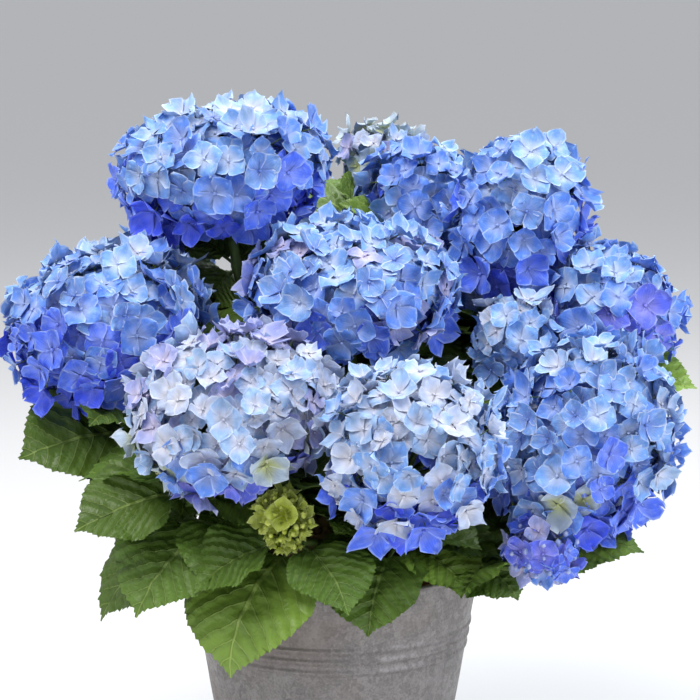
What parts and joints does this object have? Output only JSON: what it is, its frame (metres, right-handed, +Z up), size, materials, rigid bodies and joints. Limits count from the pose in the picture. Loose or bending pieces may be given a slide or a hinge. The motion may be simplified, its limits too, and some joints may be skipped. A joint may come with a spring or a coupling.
{
  "type": "potted hydrangea shrub",
  "caption": "Bigleaf hydrangea shrub with round blue mophead flowers over broad toothed leaves, in a tapered ribbed zinc bucket.",
  "frame": {"origin": "middle of the flat underside of the bucket, on the surface it stands on", "axes": "+Z up, -Y towards the front that the reference shows, +X to the right seen from the front"},
  "size_m": [0.5585, 0.5565, 0.5977],
  "materials": {
    "zinc": "dull mottled galvanised zinc",
    "terracotta": "matt terracotta-coloured plastic",
    "compost": "damp bark compost",
    "bark": "green-brown young bark",
    "foliage": "satin green leaf",
    "blossom": "soft blue petal"
  },
  "bodies": {
    "root": {"bucket": "zinc", "nursery_pot": "terracotta", "soil": "compost", "trunk": "bark", "bough_back": "bark", "bough_back_left": "bark", "bough_back_right": "bark", "bough_centre": "bark", "bough_far_right": "bark", "bough_front_left": "bark", "bough_front_right": "bark", "bough_inner_right": "bark", "bough_left": "bark", "bough_low_back_left": "bark", "bough_low_back_right": "bark", "bough_right": "bark", "bough_right_front": "bark", "bough_top_back": "bark", "bough_top_left": "bark", "bough_top_middle": "bark", "bough_top_right": "bark", "head_back": "blossom", "head_back_left": "blossom", "head_back_right": "blossom", "head_centre": "blossom", "head_far_right": "blossom", "head_front_left": "blossom", "head_front_right": "blossom", "head_left": "blossom", "head_low_back_left": "blossom", "head_low_back_right": "blossom", "head_right": "blossom", "head_right_front": "blossom", "head_top_left": "blossom", "head_top_middle": "blossom", "head_top_right": "blossom", "leaves_back": "foliage", "leaves_back_left": "foliage", "leaves_back_right": "foliage", "leaves_centre": "foliage", "leaves_far_right": "foliage", "leaves_front_left": "foliage", "leaves_front_right": "foliage", "leaves_inner_right": "foliage", "leaves_left": "foliage", "leaves_low_back_left": "foliage", "leaves_low_back_right": "foliage", "leaves_right": "foliage", "leaves_right_front": "foliage", "leaves_rim_back_left": "foliage", "leaves_rim_back_right": "foliage", "leaves_rim_front": "foliage", "leaves_rim_front_left": "foliage", "leaves_rim_front_right": "foliage", "leaves_rim_right_front": "foliage", "leaves_top_back": "foliage", "leaves_top_left": "foliage", "leaves_top_middle": "foliage", "leaves_top_right": "foliage"}
  },
  "joints": []
}
